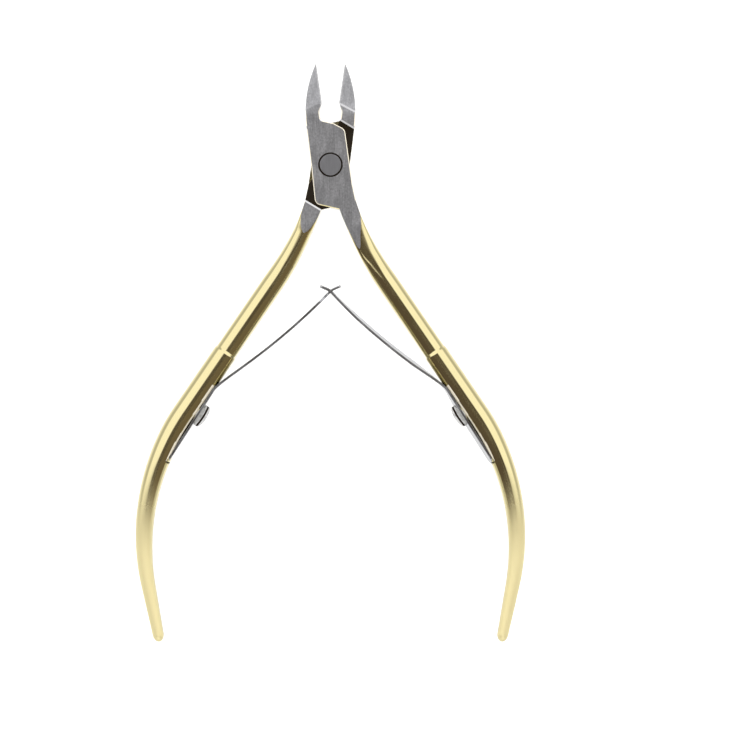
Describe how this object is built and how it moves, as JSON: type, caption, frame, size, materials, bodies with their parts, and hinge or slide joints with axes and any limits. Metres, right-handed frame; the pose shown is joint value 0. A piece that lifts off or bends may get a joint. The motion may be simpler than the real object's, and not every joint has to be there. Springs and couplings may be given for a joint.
{
  "type": "cuticle nipper",
  "caption": "Small lap-jointed nipper for trimming cuticles: short pointed cutting jaws, a flush pivot pin, bowed handles and two interlocked leaf springs that hold it open.",
  "frame": {"origin": "where the pivot axis meets the plane that the back face lies on", "axes": "+Y along the centre line to the jaw tips, +Z along the pivot axis to the front face, +X to the right seen from the front"},
  "size_m": [0.0706, 0.1048, 0.0062],
  "materials": {
    "gold_plated_steel": "polished gold-coloured plating over forged steel, ground bare on the flats of the head",
    "bare_steel": "satin-ground hardened steel",
    "spring_steel": "bright cold-rolled spring steel",
    "screw_steel": "bright nickel-plated steel"
  },
  "bodies": {
    "front_lever": {"front_lever": "gold_plated_steel", "right_spring_foot": "spring_steel", "right_spring_screw": "screw_steel"},
    "back_lever": {"back_lever": "gold_plated_steel", "pivot_pin": "bare_steel", "left_spring_foot": "spring_steel", "left_spring_screw": "screw_steel"},
    "right_blade": {"right_spring_blade": "spring_steel"},
    "left_blade": {"left_spring_blade": "spring_steel"}
  },
  "joints": [
    {"name": "jaw_pivot", "type": "hinge", "parent": "front_lever", "child": "back_lever", "pos_m": [0, 0, 0.0031], "axis": [0, 0, 1], "range_deg": [0, 16], "stiffness_Nm_per_rad": 1.5},
    {"name": "right_spring_bend", "type": "hinge", "parent": "front_lever", "child": "right_blade", "pos_m": [0.02124, -0.04083, 0.0031], "axis": [0, 0, 1], "range_deg": [-9, 0]},
    {"name": "left_spring_bend", "type": "hinge", "parent": "back_lever", "child": "left_blade", "pos_m": [-0.02124, -0.04083, 0.0031], "axis": [0, 0, 1], "range_deg": [0, 9]}
  ],
  "couplings": [
    {"joint": "right_spring_bend", "follows": "jaw_pivot", "ratio": -0.53},
    {"joint": "left_spring_bend", "follows": "jaw_pivot", "ratio": 0.53}
  ]
}
